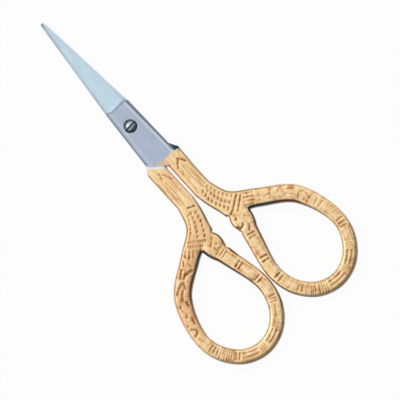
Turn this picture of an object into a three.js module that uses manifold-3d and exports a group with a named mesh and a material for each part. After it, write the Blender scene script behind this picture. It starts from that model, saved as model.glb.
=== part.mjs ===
// Embroidery scissors, closed and lying on their back: two forged steel halves whose handles are gilt,
// crossed at the joint and held by one slotted screw.
// Millimetres. The tips point to +Y, +Z is up, the pivot axis is Z, and z = 0 is the plane that they lie on.
import * as THREE from "three";
import { mergeVertices } from "three/addons/utils/BufferGeometryUtils.js";
import Module from "manifold-3d";

const wasm = await Module();
wasm.setup();

// Joint: each half has a flat plate here, and the two plates lie face to face
const PLATE_THICKNESS = 1.6;
const PLATE_CLEARANCE = 0.06; // running gap between the two inner faces
const PLATE_TOP = 5.5; // from the pivot up to the blade
const PLATE_FOOT = 8.7; // from the pivot down to the end of the straight sides
const PLATE_TOP_WIDTH = 5.65;
const PLATE_FOOT_WIDTH = 7.2;
const PLATE_TOP_OFFSET = 0.42; // the plates' middle stands this far to the right of the pivot
const PLATE_FOOT_OFFSET = 0.12;
const PLATE_CHAMFER_WIDTH = 0.5;
const PLATE_CHAMFER_DEPTH = 0.35;
const FLARE_SIDE = 0.4; // height of the side under the steep facet where the plate widens to the shank

// Blade: flat ground, thick along the spine and thin along the cutting edge
const BLADE_LENGTH = 25.7;
const TIP_OFFSET = 0.72; // to the right of the pivot
const TIP_WIDTH = 0.3;
const POINT_LENGTH = 1.8; // the last stretch, where the sides turn in to the tip
const POINT_WIDTH = 0.95;
const GRIND_RUN_OUT = 0.4; // length of the slope from the plate down to the ground face
const SPINE_THICKNESS = 1.25;
const SPINE_TIP_THICKNESS = 0.5;
const SPINE_CHAMFER_WIDTH = 0.36;
const SPINE_CHAMFER_DEPTH = 0.18;
const EDGE_THICKNESS = 0.3;
const EDGE_TIP_THICKNESS = 0.14;
const EDGE_LAND = 0.08; // what the bevel leaves at the cutting edge itself
const EDGE_BEVEL_WIDTH = 0.8;

// Shoulder: below the plate's foot each half passes from its own side of the joint to its full thickness
const PLATING_DROP = 1.5; // from the plate's foot to the end of the bare steel
const CROTCH_DROP = 3.6; // from the plate's foot to where the two shanks lie side by side
const BACK_FLARE_LAP = 1; // the back half goes on widening for this much past the bare steel
const SHOULDER_CLEARANCE = 0.25;
const SHOULDER_RAMP = 0.6;
const SHOULDER_BURY = 1.6; // how far the plate runs on inside the shank

// Handle: a shank beside the other half's shank, then an oval bow for a finger
const SHANK_WIDTH = 4.5;
const SHANK_GAP = 0.5; // between the two closed shanks
const SHANK_LENGTH = 11.2;
const SHANK_EASE = 1; // straight stretch that leads into the curve of the rim
const FORK_DROP = 5.7; // from the shank's foot to where it parts into rim and stem
const FORK_SET_OUT = 2; // and sideways from the shank's middle
const FORK_WIDTH = 4.9;
const RIM_SHOULDER_DROP = 4.05; // from the fork
const RIM_SHOULDER_SET_OUT = 5.55; // from the stem's top
const RIM_SHOULDER_WIDTH = 4.3;
const HAUNCH_DROP = 5.35; // from the rim's shoulder
const HAUNCH_INSET = 4.8; // from the bow's outer side
const HAUNCH_WIDTH = 4.1;
const BOW_GAP = 0.26; // the closed bows all but touch
const BOW_WIDTH = 22.05;
const BOW_LENGTH = 31.55; // from the fork to the bow's end
const BOW_ROUND = 12.45; // from the bow's end to its widest place
const RIM_SIDE_WIDTH = 3.3;
const RIM_END_WIDTH = 3.5;
const STEM_DROP = 5; // from its top
const STEM_SET_OUT = 1.8; // sideways from the middle of the bow's inner side
const STEM_WIDTH = 3.85;
const STEM_TOP_DROP = 5.1; // from the fork
const STEM_TOP_SET_OUT = 3.05;
const STEM_TOP_WIDTH = 4.4;
const WEB_MARGIN = 0.15; // the web in the fork is this much fuller than the stem that it joins
const WEB_LAP = 1.4; // and reaches this far down it
const RIM_SQUARENESS = 3; // 2 is an ellipse, and more is nearer to a rectangle
const BOSS_RADIUS = 1.3;
const BOSS_LENGTH = 4.4;
const BOSS_THICKNESS = 2.9;
const BOSS_STAND_OUT = 0.75; // past the stem, towards the other handle

// Pivot screw
const HEAD_DIAMETER = 3;
const HEAD_THICKNESS = 0.85;
const HEAD_PROUD = 0.12;
const HEAD_CLEARANCE = 0.14; // around the head in its counterbore
const HEAD_CHAMFER = 0.25;
const SCREW_DIAMETER = 2;
const RUNNING_CLEARANCE = 0.05; // around the screw, and under its head
const SLOT_WIDTH = 0.5;
const SLOT_DEPTH = 0.45;
const SLOT_TURN = THREE.MathUtils.degToRad(8);

// Fineness of the round surfaces
const ROUND_FACETS = 48;
const RIM_FACETS = 20;
const RIM_STEP = 1.7; // length of one facet along the rim
const BOW_STATIONS = 6;
const BOSS_FACETS = 14;

const halfHeight = PLATE_THICKNESS + PLATE_CLEARANCE / 2;
const innerFace = PLATE_CLEARANCE / 2;
const beyond = 2 * halfHeight;
const footY = -PLATE_FOOT;
const platingY = footY - PLATING_DROP;
const crotchY = footY - CROTCH_DROP;
const shankFootY = platingY - SHANK_LENGTH;
const shankInner = SHANK_GAP / 2;
const shankOuter = shankInner + SHANK_WIDTH;
const shankMiddle = (shankInner + shankOuter) / 2;
const up = new THREE.Vector3(0, 0, 1);
const lerp = THREE.MathUtils.lerp;

// Solids

function solidOf(geometry) {
  const bare = geometry.toNonIndexed();
  bare.deleteAttribute("normal");
  bare.deleteAttribute("uv");
  const merged = mergeVertices(bare, 1e-5);
  const vertProperties = new Float32Array(merged.attributes.position.array);
  const triVerts = new Uint32Array(merged.index.array);
  return new wasm.Manifold(new wasm.Mesh({ numProp: 3, vertProperties, triVerts }));
}

function geometryOf(solid) {
  const mesh = solid.getMesh();
  const geometry = new THREE.BufferGeometry();
  geometry.setAttribute("position", new THREE.BufferAttribute(new Float32Array(mesh.vertProperties), 3));
  geometry.setIndex(new THREE.BufferAttribute(new Uint32Array(mesh.triVerts), 1));
  geometry.computeVertexNormals();
  return geometry;
}

// A closed skin over rings of points, each ring anticlockwise as seen from the ring that follows it
function loft(rings) {
  const count = rings[0].length;
  const points = rings.flat();
  const faces = [];
  for (let start = 0; start + count < points.length; start += count) {
    for (let i = 0; i < count; i++) {
      const a = start + i;
      const b = start + ((i + 1) % count);
      faces.push(a, b, b + count, a, b + count, a + count);
    }
  }
  const last = points.length - count;
  for (let i = 1; i + 1 < count; i++) {
    faces.push(0, i + 1, i, last, last + i, last + i + 1);
  }
  const geometry = new THREE.BufferGeometry().setFromPoints(points);
  geometry.setIndex(faces);
  return geometry;
}

// An upright block over a plan outline, which may change from its bottom to its top
function block(bottomOutline, bottom, topOutline, top) {
  const ring = (outline, z) => outline.map((point) => new THREE.Vector3(point.x, point.y, z));
  return loft([ring(bottomOutline, bottom), ring(topOutline, top)]);
}

function cylinder(radius, bottom, top) {
  const geometry = new THREE.CylinderGeometry(radius, radius, top - bottom, ROUND_FACETS);
  return geometry.rotateX(Math.PI / 2).translate(0, 0, (bottom + top) / 2);
}

// Plate and blade: each ring is a cross-section with a flat inner face, two sides and a chamfered outer face.
// lean is 1 on the front half and -1 on the back half, so that the closed blades cover each other.

function crossSection(y, left, right) {
  const corners = [
    [left.x, innerFace],
    [right.x, innerFace],
    [right.x, innerFace + right.height - right.breakDepth],
    [right.x - right.breakWidth, innerFace + right.height],
    [left.x + left.breakWidth, innerFace + left.height],
    [left.x, innerFace + left.height - left.breakDepth],
  ];
  return corners.map(([x, z]) => new THREE.Vector3(x, y, z));
}

function plateSide(x, height = PLATE_THICKNESS) {
  return { x, height, breakWidth: PLATE_CHAMFER_WIDTH, breakDepth: PLATE_CHAMFER_DEPTH };
}

function footSides(lean) {
  const middle = lean * PLATE_FOOT_OFFSET;
  return { left: middle - PLATE_FOOT_WIDTH / 2, right: middle + PLATE_FOOT_WIDTH / 2 };
}

// Below its foot the plate has a slanting shoulder on the left and widens to the shank on the right

function shoulderX(lean, y) {
  return lerp(footSides(lean).left, shankInner, (footY - y) / CROTCH_DROP);
}

function flareFootY(lean) {
  return lean > 0 ? platingY : platingY - BACK_FLARE_LAP;
}

function flareX(lean, y) {
  return lerp(footSides(lean).right, shankOuter, (footY - y) / (footY - flareFootY(lean)));
}

function facetSide(lean) {
  const x = flareX(lean, platingY);
  const breakWidth = PLATE_CHAMFER_WIDTH + x - footSides(lean).right;
  return { x, height: PLATE_THICKNESS, breakWidth, breakDepth: PLATE_THICKNESS - FLARE_SIDE };
}

function bladeSection(y, middle, width, share) {
  const spineHeight = lerp(SPINE_THICKNESS, SPINE_TIP_THICKNESS, share);
  const edgeHeight = lerp(EDGE_THICKNESS, EDGE_TIP_THICKNESS, share);
  const spine = {
    x: middle - width / 2,
    height: spineHeight,
    breakWidth: Math.min(SPINE_CHAMFER_WIDTH, width / 3),
    breakDepth: SPINE_CHAMFER_DEPTH,
  };
  const edge = {
    x: middle + width / 2,
    height: edgeHeight,
    breakWidth: Math.min(EDGE_BEVEL_WIDTH, width / 3),
    breakDepth: edgeHeight - EDGE_LAND,
  };
  return crossSection(y, spine, edge);
}

function bladeGeometry(lean) {
  const top = lean * PLATE_TOP_OFFSET;
  const tip = lean * TIP_OFFSET;
  const pointShare = 1 - POINT_LENGTH / BLADE_LENGTH;
  const pointY = PLATE_TOP + pointShare * BLADE_LENGTH;
  const foot = footSides(lean);
  return loft([
    bladeSection(PLATE_TOP + BLADE_LENGTH, tip, TIP_WIDTH, 1),
    bladeSection(pointY, lerp(top, tip, pointShare), POINT_WIDTH, pointShare),
    bladeSection(PLATE_TOP + GRIND_RUN_OUT, top, PLATE_TOP_WIDTH, 0),
    crossSection(PLATE_TOP, plateSide(top - PLATE_TOP_WIDTH / 2), plateSide(top + PLATE_TOP_WIDTH / 2)),
    crossSection(footY, plateSide(foot.left), plateSide(foot.right)),
    crossSection(platingY, plateSide(shoulderX(lean, platingY)), facetSide(lean)),
  ]);
}

// Handle: one sweep runs down the shank, round the bow and back up the stem, and a web closes the fork.
// A station is (x, y, width of the rim there).

const forkY = shankFootY - FORK_DROP;
const bowMiddleY = forkY - BOW_LENGTH + BOW_ROUND;
const bowOuterX = BOW_GAP / 2 + BOW_WIDTH;
const bowInnerX = (BOW_GAP + RIM_SIDE_WIDTH) / 2;
const stemTop = new THREE.Vector2(bowInnerX + STEM_TOP_SET_OUT, forkY - STEM_TOP_DROP);
const stem = new THREE.Vector2(bowInnerX + STEM_SET_OUT, stemTop.y - STEM_DROP);
const rimShoulder = new THREE.Vector2(stemTop.x + RIM_SHOULDER_SET_OUT, forkY - RIM_SHOULDER_DROP);

function handleStations() {
  const halfAcross = (BOW_WIDTH - RIM_SIDE_WIDTH) / 2;
  const halfBelow = BOW_ROUND - RIM_END_WIDTH / 2;
  const stations = [
    [shankMiddle, platingY, SHANK_WIDTH],
    [shankMiddle, shankFootY + SHANK_EASE, SHANK_WIDTH],
    [shankMiddle, shankFootY, SHANK_WIDTH],
    [shankMiddle + FORK_SET_OUT, forkY, FORK_WIDTH],
    [rimShoulder.x, rimShoulder.y, RIM_SHOULDER_WIDTH],
    [bowOuterX - HAUNCH_INSET, rimShoulder.y - HAUNCH_DROP, HAUNCH_WIDTH],
  ];
  for (let i = 0; i <= BOW_STATIONS; i++) {
    const angle = (Math.PI * i) / BOW_STATIONS;
    const x = bowInnerX + halfAcross * (1 + Math.cos(angle));
    const y = bowMiddleY - halfBelow * Math.sin(angle);
    stations.push([x, y, lerp(RIM_SIDE_WIDTH, RIM_END_WIDTH, Math.sin(angle))]);
  }
  stations.push([stem.x, stem.y, STEM_WIDTH]);
  stations.push([stemTop.x, stemTop.y, STEM_TOP_WIDTH]);
  return stations;
}

function webStations() {
  const end = stem.clone().sub(stemTop).setLength(WEB_LAP).add(stemTop);
  const width = STEM_TOP_WIDTH + 2 * WEB_MARGIN;
  return [
    [shankMiddle, shankFootY, SHANK_WIDTH - 2 * WEB_MARGIN],
    [stemTop.x, stemTop.y, width],
    [end.x, end.y, width],
  ];
}

// A rounded-off rectangle, square to the run of the rim
function rimRing(middle, direction, width) {
  const side = new THREE.Vector3().crossVectors(up, direction).normalize();
  const swell = (value) => Math.sign(value) * Math.abs(value) ** (2 / RIM_SQUARENESS);
  const ring = [];
  for (let i = 0; i < RIM_FACETS; i++) {
    const angle = (2 * Math.PI * i) / RIM_FACETS;
    const point = middle.clone().addScaledVector(side, (swell(Math.cos(angle)) * width) / 2);
    ring.push(point.addScaledVector(up, swell(Math.sin(angle)) * halfHeight));
  }
  return ring;
}

function sweep(stations) {
  const curve = new THREE.CatmullRomCurve3(stations.map((station) => new THREE.Vector3(...station)));
  const steps = Math.round(curve.getLength() / RIM_STEP);
  const rings = [];
  for (let step = 0; step <= steps; step++) {
    const at = curve.getPointAt(step / steps);
    const direction = curve.getTangentAt(step / steps).setZ(0);
    rings.push(rimRing(new THREE.Vector3(at.x, at.y, 0), direction, at.z));
  }
  return loft(rings);
}

// The plate's gilt end, which runs on inside the shank
function shoulderGeometry(lean) {
  const inset = SHOULDER_BURY / 2;
  const buriedLeft = plateSide(shankInner + inset, PLATE_THICKNESS - inset);
  const buriedRight = plateSide(shankOuter - inset, PLATE_THICKNESS - inset);
  return loft([
    crossSection(platingY, plateSide(shoulderX(lean, platingY)), plateSide(flareX(lean, platingY))),
    crossSection(crotchY, plateSide(shankInner), plateSide(shankOuter)),
    crossSection(crotchY - SHOULDER_BURY, buriedLeft, buriedRight),
  ]);
}

// What the flare leaves off the shank's outer corner
function flareRoom(lean) {
  const outside = shankOuter + SHANK_WIDTH;
  const outline = [
    new THREE.Vector2(footSides(lean).right, footY),
    new THREE.Vector2(shankOuter, flareFootY(lean)),
    new THREE.Vector2(outside, flareFootY(lean)),
    new THREE.Vector2(outside, footY),
  ];
  return block(outline, -beyond, outline, beyond);
}

// Room on the inner side of the shank for the other half's plate, down to a ramp beside that plate's shoulder
function shoulderRoom(lean) {
  const corner = new THREE.Vector2(-footSides(-lean).left, footY);
  const crotch = new THREE.Vector2(-shankInner, crotchY);
  const along = crotch.clone().sub(corner);
  const away = new THREE.Vector2(-along.y, along.x).normalize();
  const reach = along.length();
  const outline = (offset) => {
    const near = corner.clone().sub(along).addScaledVector(away, offset);
    const far = crotch.clone().add(along).addScaledVector(away, offset);
    const inward = away.clone().multiplyScalar(-2 * reach);
    return [near, near.clone().add(inward), far.clone().add(inward), far];
  };
  const slope = SHOULDER_RAMP / halfHeight;
  const deepest = outline(SHOULDER_CLEARANCE + slope * (innerFace + beyond));
  return block(deepest, -beyond, outline(SHOULDER_CLEARANCE), innerFace);
}

function bossGeometry() {
  const geometry = new THREE.SphereGeometry(1, BOSS_FACETS, BOSS_FACETS / 2 + 1);
  geometry.scale(BOSS_RADIUS, BOSS_LENGTH / 2, BOSS_THICKNESS / 2);
  const stemEdge = stemTop.x - STEM_TOP_WIDTH / 2;
  return geometry.translate(stemEdge - BOSS_STAND_OUT + BOSS_RADIUS, stemTop.y, 0);
}

function handleSolid(lean) {
  return solidOf(sweep(handleStations()))
    .add(solidOf(sweep(webStations())))
    .add(solidOf(bossGeometry()))
    .add(solidOf(shoulderGeometry(lean)))
    .subtract(solidOf(shoulderRoom(lean)))
    .subtract(solidOf(flareRoom(lean)));
}

// Pivot: the front plate turns on the screw under its head, and the back plate is tapped for its end

const headTop = halfHeight + HEAD_PROUD;
const headUnderside = headTop - HEAD_THICKNESS;

function pivotHole() {
  return cylinder(SCREW_DIAMETER / 2 + RUNNING_CLEARANCE, -beyond, beyond);
}

function counterbore() {
  return cylinder(HEAD_DIAMETER / 2 + HEAD_CLEARANCE, headUnderside - RUNNING_CLEARANCE, beyond);
}

function frontBladeSolid() {
  return solidOf(bladeGeometry(1)).subtract(solidOf(pivotHole())).subtract(solidOf(counterbore()));
}

function backBladeSolid() {
  return solidOf(bladeGeometry(-1)).subtract(solidOf(pivotHole()));
}

function screwSolid() {
  const profile = [
    [0, -halfHeight],
    [SCREW_DIAMETER / 2, -halfHeight],
    [SCREW_DIAMETER / 2, headUnderside],
    [HEAD_DIAMETER / 2, headUnderside],
    [HEAD_DIAMETER / 2, headTop - HEAD_CHAMFER],
    [HEAD_DIAMETER / 2 - HEAD_CHAMFER, headTop],
    [0, headTop],
  ].map(([radius, height]) => new THREE.Vector2(radius, height));
  const turned = new THREE.LatheGeometry(profile, ROUND_FACETS).rotateX(Math.PI / 2);
  const slot = new THREE.BoxGeometry(2 * HEAD_DIAMETER, SLOT_WIDTH, 2 * SLOT_DEPTH);
  slot.rotateZ(SLOT_TURN).translate(0, 0, headTop);
  return solidOf(turned).subtract(solidOf(slot));
}

// Assembly

const steel = new THREE.MeshStandardMaterial({ color: 0xaebccb, roughness: 0.3, metalness: 1 });
const gilt = new THREE.MeshStandardMaterial({ color: 0xe6bf82, roughness: 0.32, metalness: 1 });
const screwSteel = new THREE.MeshStandardMaterial({ color: 0x8d9aa8, roughness: 0.25, metalness: 1 });

function piece(name, solid, material) {
  const mesh = new THREE.Mesh(geometryOf(solid), material);
  mesh.name = name;
  return mesh;
}

const frontHalf = new THREE.Group();
frontHalf.position.z = halfHeight;
frontHalf.add(piece("front_blade", frontBladeSolid(), steel));
frontHalf.add(piece("front_handle", handleSolid(1), gilt));

const backHalf = new THREE.Group();
backHalf.position.z = halfHeight;
backHalf.rotation.y = Math.PI;
backHalf.add(piece("back_blade", backBladeSolid(), steel));
backHalf.add(piece("back_handle", handleSolid(-1), gilt));

const screw = piece("pivot_screw", screwSolid(), screwSteel);
screw.position.z = halfHeight;

const scissors = new THREE.Group();
scissors.add(frontHalf, backHalf, screw);

export default scissors;
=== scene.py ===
import math

import bpy
import bmesh
import numpy as np
import openvdb
from mathutils import Matrix, Vector


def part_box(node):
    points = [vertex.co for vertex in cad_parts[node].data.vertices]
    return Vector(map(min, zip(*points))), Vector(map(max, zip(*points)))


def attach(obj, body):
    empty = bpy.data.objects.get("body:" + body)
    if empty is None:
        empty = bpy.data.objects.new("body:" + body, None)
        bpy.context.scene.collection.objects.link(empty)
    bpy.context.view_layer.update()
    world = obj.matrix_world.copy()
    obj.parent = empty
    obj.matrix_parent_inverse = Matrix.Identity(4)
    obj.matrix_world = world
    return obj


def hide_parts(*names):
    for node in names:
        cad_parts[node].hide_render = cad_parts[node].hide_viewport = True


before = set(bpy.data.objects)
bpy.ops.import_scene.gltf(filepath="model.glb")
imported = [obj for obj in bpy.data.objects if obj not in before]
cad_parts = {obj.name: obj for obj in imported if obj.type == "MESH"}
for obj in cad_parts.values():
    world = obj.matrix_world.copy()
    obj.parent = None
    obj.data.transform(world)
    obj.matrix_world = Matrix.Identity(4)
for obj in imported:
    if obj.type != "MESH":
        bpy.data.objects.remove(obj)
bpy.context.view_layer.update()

# Blades and joint plates
# The bare ends of the two steel forgings. Each is a flat plate at the joint, with its sides rounded off, and
# beyond the plate a blade that is ground on a wheel from a thick spine to a thin edge.
MM = 0.001
blade_low, blade_high = (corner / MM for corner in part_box("front_blade"))
HALF_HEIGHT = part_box("front_handle")[1].z / MM / 2
INNER_FACE = blade_low.z - HALF_HEIGHT
PLATE_THICKNESS = HALF_HEIGHT - INNER_FACE
TIP_Y = blade_high.y
PLATING_Y = blade_low.y
PLATE_TOP_Y = 5.5
PLATE_FOOT_Y = -8.7
SHOULDER_Y = -9.25  # where a plate's left side turns in
FRONT_FLARE_Y = -8.25  # where its right side turns out
BACK_FLARE_Y = -9.25
FRONT_FLARE_LAP = 0.6  # how far the flare runs on past the plating line
BACK_FLARE_LAP = 1.0
FRONT_FLARE_REACH = 0.25  # how far the front plate's flare stands past the shank
PLATE_TOP_WIDTH = 5.65
PLATE_FOOT_WIDTH = 7.2
PLATE_TOP_OFFSET = 0.42
PLATE_FOOT_OFFSET = 0.12
BROAD_BEVEL = (0.7, 0.17)  # width and drop of the two bevels along a plate's sides
STEEP_BEVEL = (0.25, 0.18)
SIDE_HEIGHT = 0.4  # of the upright part of a plate's right side
CROTCH_Y = -12.3
SHANK_INNER = 0.25
SHANK_OUTER = 4.75
POINT_LENGTH = 1.0
POINT_WIDTH = 0.95
TIP_WIDTH = 0.6
TIP_OFFSET = 0.72
EDGE_BELLY = ((PLATE_TOP_Y, 14, 27, TIP_Y), (0.18, 0.24, 0.26, 0.18))  # the front edge bows out, by y
STEP_DIP = 0.6  # how much further down the plate the blade's grinding reaches, away from the spine
STEP_TURN = (0.2, 1.2)  # distances from the spine between which it turns down
STEP_FOOT_Y = PLATE_TOP_Y - STEP_DIP
SIDE_SLANT = ((PLATE_FOOT_Y, STEP_FOOT_Y, PLATE_TOP_Y), (0.12, 0.3, 0.18))  # of the front's right side, by y
SPINE_THICKNESS = (1.25, 0.5)  # at the plate and at the tip
EDGE_THICKNESS = (0.3, 0.14)
EDGE_LAND = 0.08
EDGE_BEVEL_WIDTH = 0.8
WHEEL_RADIUS = 1.5  # of the grinding wheel, which leaves a hollow step where the blade begins
INNER_HOLLOW = 0.1  # the inner faces are ground hollow, so that only the edges meet
PLATING_DIP = (0.9, 0.69)  # the plating line's lowest place: its x, and how far down it is
PLATING_BOW = 0.063  # how fast the line rises to both sides of it
PLATING_DROPS = ((3.2, 3.8, 0.65), (3.9, 4.9, 0.5))  # on the flare it drops again, from x to x by an amount
PLATING_RAGGED = 0.5
FACE_POINTS = 33  # in a cross-section: over the outer face, the inner face and the side
INNER_POINTS = 13
SIDE_POINTS = 4
TURNED_SIDES = 96
SHARP_ANGLE = math.radians(32)
STEEP, LEVEL = 0.22, 0.62  # a face's slope, as its normal's height, where it counts as upright and as flat

PLATE_STEEL = (0.415, 0.48, 0.59, 1)
BLADE_STEEL = (0.525, 0.665, 0.755, 1)
# Painted highlight on the blade, the plate and in the counterbore.
PAINTED_HIGHLIGHT_STEEL = (0.80, 0.88, 0.90, 1)
# Painted shade along the spine and on the plate's sides.
PAINTED_SHADE_STEEL = (0.20, 0.25, 0.31, 1)
# Painted shade on upright walls and in the counterbore.
WALL_SHADE_STEEL = (0.05, 0.06, 0.085, 1)
# Painted shade on the facet where a plate's right side flares out.
FACET_SHADE_STEEL = (0.022, 0.055, 0.085, 1)
# Filed steel: partly its own rough finish, partly a near-white painted highlight.
FILED_HIGHLIGHT_STEEL = (0.93, 0.93, 0.90, 1)
PLATING_EDGE = (0.62, 0.42, 0.20, 1)


def rising(value, low, high):
    """0 up to low, 1 from high on, and a straight rise in the middle."""
    return np.clip((value - low) / (high - low), 0, 1)


def bevelled(distance, width, drop):
    """How far a face has dropped at a distance from its side."""
    return drop * (1 - rising(distance, 0, width))


def eased(distance):
    """The same for a plate's face, with a broad bevel and then a steep one."""
    return bevelled(distance, *BROAD_BEVEL) + bevelled(distance, *STEEP_BEVEL)


def plate_sides(lean, y):
    """Left and right side of a joint plate, carried on straight past its foot."""
    share = (PLATE_TOP_Y - y) / (PLATE_TOP_Y - PLATE_FOOT_Y)
    middle = lean * (PLATE_TOP_OFFSET + share * (PLATE_FOOT_OFFSET - PLATE_TOP_OFFSET))
    half = (PLATE_TOP_WIDTH + share * (PLATE_FOOT_WIDTH - PLATE_TOP_WIDTH)) / 2
    return middle - half, middle + half


def blade_sides(lean, y):
    """Spine and cutting edge."""
    places = [PLATE_TOP_Y, TIP_Y - POINT_LENGTH, TIP_Y]
    half = np.interp(y, places, [PLATE_TOP_WIDTH, POINT_WIDTH, TIP_WIDTH]) / 2
    middle = lean * np.interp(y, [PLATE_TOP_Y, TIP_Y], [PLATE_TOP_OFFSET, TIP_OFFSET])
    belly = np.interp(y, *EDGE_BELLY) if lean > 0 else 0
    return middle - half, middle + half + belly


def shoulder_x(lean, y):
    """Below its foot a plate's left side slants in to the shank."""
    share = (SHOULDER_Y - y) / (SHOULDER_Y - CROTCH_Y)
    left = plate_sides(lean, SHOULDER_Y)[0]
    return left + share * (SHANK_INNER - left)


def flare_ends(lean):
    """Where a plate's right side turns out, and where it has reached the shank's outer side."""
    start, lap, reach = BACK_FLARE_Y, BACK_FLARE_LAP, 0
    if lean > 0:
        start, lap, reach = FRONT_FLARE_Y, FRONT_FLARE_LAP, FRONT_FLARE_REACH
    return (plate_sides(lean, start)[1], start), (SHANK_OUTER + reach, PLATING_Y - lap)


def flare_x(lean, y):
    """Below its foot a plate's right side widens to the shank."""
    start, foot = flare_ends(lean)
    share = (start[1] - y) / (start[1] - foot[1])
    return start[0] + share * (foot[0] - start[0])


def step_y(from_spine):
    """Where the ground face begins."""
    share = rising(from_spine, *STEP_TURN)
    return PLATE_TOP_Y - STEP_DIP * share * share * (3 - 2 * share)


def blade_top(x, y, left, right):
    """Height of the ground face over the inner face, with the wheel's hollow where it meets the plate."""
    across = (x - left) / (right - left)
    out = (y - PLATE_TOP_Y) / (TIP_Y - PLATE_TOP_Y)
    spine = SPINE_THICKNESS[0] + out * (SPINE_THICKNESS[1] - SPINE_THICKNESS[0])
    edge = EDGE_THICKNESS[0] + out * (EDGE_THICKNESS[1] - EDGE_THICKNESS[0])
    face = spine + across * (edge - spine)
    rise = PLATE_THICKNESS - SPINE_THICKNESS[0] - across * (EDGE_THICKNESS[0] - SPINE_THICKNESS[0])
    reach = np.sqrt(WHEEL_RADIUS**2 - (WHEEL_RADIUS - rise) ** 2)
    into = np.clip(reach - (y - step_y(x - left)), 0, reach)
    hollow = WHEEL_RADIUS - np.sqrt(WHEEL_RADIUS**2 - into**2)
    plate_share = into / reach
    bevels = bevelled(x - left, *STEEP_BEVEL) + bevelled(right - x, EDGE_BEVEL_WIDTH, edge - EDGE_LAND)
    plate_bevels = eased(x - left) + eased(right - x)
    return face + hollow - (1 - plate_share) * bevels - plate_share * plate_bevels


def blade_ring(lean, y):
    """One cross-section: along the inner face, up the right side and back over the outer face."""
    across = (1 - np.cos(np.pi * np.linspace(0, 1, FACE_POINTS))) / 2
    if y >= PLATE_TOP_Y:
        left, right = blade_sides(lean, y)
        side = right
        x = left + across * (right - left)
        top = blade_top(x, y, left, right)
    else:
        straight, right = plate_sides(lean, y)
        left = max(straight, shoulder_x(lean, y))
        slant = np.interp(y, *SIDE_SLANT) if lean > 0 else 0
        side = min(max(right + slant, flare_x(lean, y)), flare_ends(lean)[1][0])
        x = left + across * (right - left)
        top = PLATE_THICKNESS - eased(x - straight) - eased(right - x)
        if y > STEP_FOOT_Y:
            top = np.where(y > step_y(x - left), blade_top(x, y, left, right), top)
    inner = np.linspace(0, 1, INNER_POINTS)
    inner_x = left + inner * (side - left)
    ground = rising(y, PLATE_TOP_Y, TIP_Y) * np.clip(TIP_Y - y, 0, 1)
    inner_z = INNER_HOLLOW * ground * np.sin(np.pi * inner)
    rise = np.arange(SIDE_POINTS) / SIDE_POINTS
    side_low = min(SIDE_HEIGHT, top[-1] / 2)
    side_x = side + rise * (right - side)
    side_z = side_low + rise * (top[-1] - side_low)
    ring_x = np.concatenate([inner_x, side_x, x[::-1]])
    ring_z = INNER_FACE + np.concatenate([inner_z, side_z, top[::-1]])
    return np.stack([ring_x, np.full_like(ring_x, y), ring_z], axis=1)


def placed(points, lean):
    """From a half's own frame to the scissors': the back half lies turned over."""
    turned = points * np.array([lean, 1, lean])
    return (turned + np.array([0, 0, HALF_HEIGHT])) * MM


def new_piece(name, points, faces):
    mesh = bpy.data.meshes.new(name)
    mesh.from_pydata(points.tolist(), [], [list(face) for face in faces])
    shape = bmesh.new()
    shape.from_mesh(mesh)
    bmesh.ops.recalc_face_normals(shape, faces=shape.faces)
    shape.to_mesh(mesh)
    shape.free()
    piece = bpy.data.objects.new(name, mesh)
    bpy.context.scene.collection.objects.link(piece)
    return piece


def lofted(name, rings):
    """A closed skin over rings with the same number of points."""
    count = len(rings[0])
    points = np.concatenate(rings)
    faces = []
    for start in range(0, len(points) - count, count):
        for i in range(count):
            a, b = start + i, start + (i + 1) % count
            faces.append((a, b, b + count, a + count))
    faces.append(tuple(range(count)))
    faces.append(tuple(range(len(points) - count, len(points))))
    return new_piece(name, points, faces)


def cut_away(piece, cutter):
    """Takes the cutter's shape out of the piece."""
    cut = piece.modifiers.new("cut", "BOOLEAN")
    cut.operation = "DIFFERENCE"
    cut.solver = "EXACT"
    cut.object = cutter
    bpy.context.view_layer.update()
    done = bpy.data.meshes.new_from_object(piece.evaluated_get(bpy.context.evaluated_depsgraph_get()))
    piece.modifiers.clear()
    piece.data = done
    bpy.data.objects.remove(cutter)


def turned_ring(radius, z):
    """A round cross-section on the pivot axis."""
    turn = 2 * np.pi * np.arange(TURNED_SIDES) / TURNED_SIDES
    return placed(np.stack([radius * np.cos(turn), radius * np.sin(turn), np.full_like(turn, z)], axis=1), 1)


def round_bar(radius, bottom, top):
    """A cutter on the pivot axis."""
    return lofted("round_bar", [turned_ring(radius, z) for z in (bottom, top)])


def own_points(piece, lean):
    """The mesh's points in the half's own frame, in millimetres: x, y and z."""
    points = np.zeros(len(piece.data.vertices) * 3)
    piece.data.vertices.foreach_get("co", points)
    turned = points.reshape(-1, 3) / MM - np.array([0, 0, HALF_HEIGHT])
    return (turned * np.array([lean, 1, lean])).T


def mark(piece, name, values):
    """Keeps a number for each point of the mesh, which its finish reads."""
    kept = piece.data.attributes.new(name, "FLOAT", "POINT")
    kept.data.foreach_set("value", np.asarray(values, np.float32))


def facing(piece):
    """The way each point of the mesh faces: x, y and z."""
    normals = np.zeros(len(piece.data.vertices) * 3, np.float32)
    piece.data.vertex_normals.foreach_get("vector", normals)
    return normals.reshape(-1, 3).T


def upright(piece):
    """1 where the surface stands upright, 0 where it lies flat."""
    return 1 - rising(np.abs(facing(piece)[2]), STEEP, LEVEL)


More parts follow.
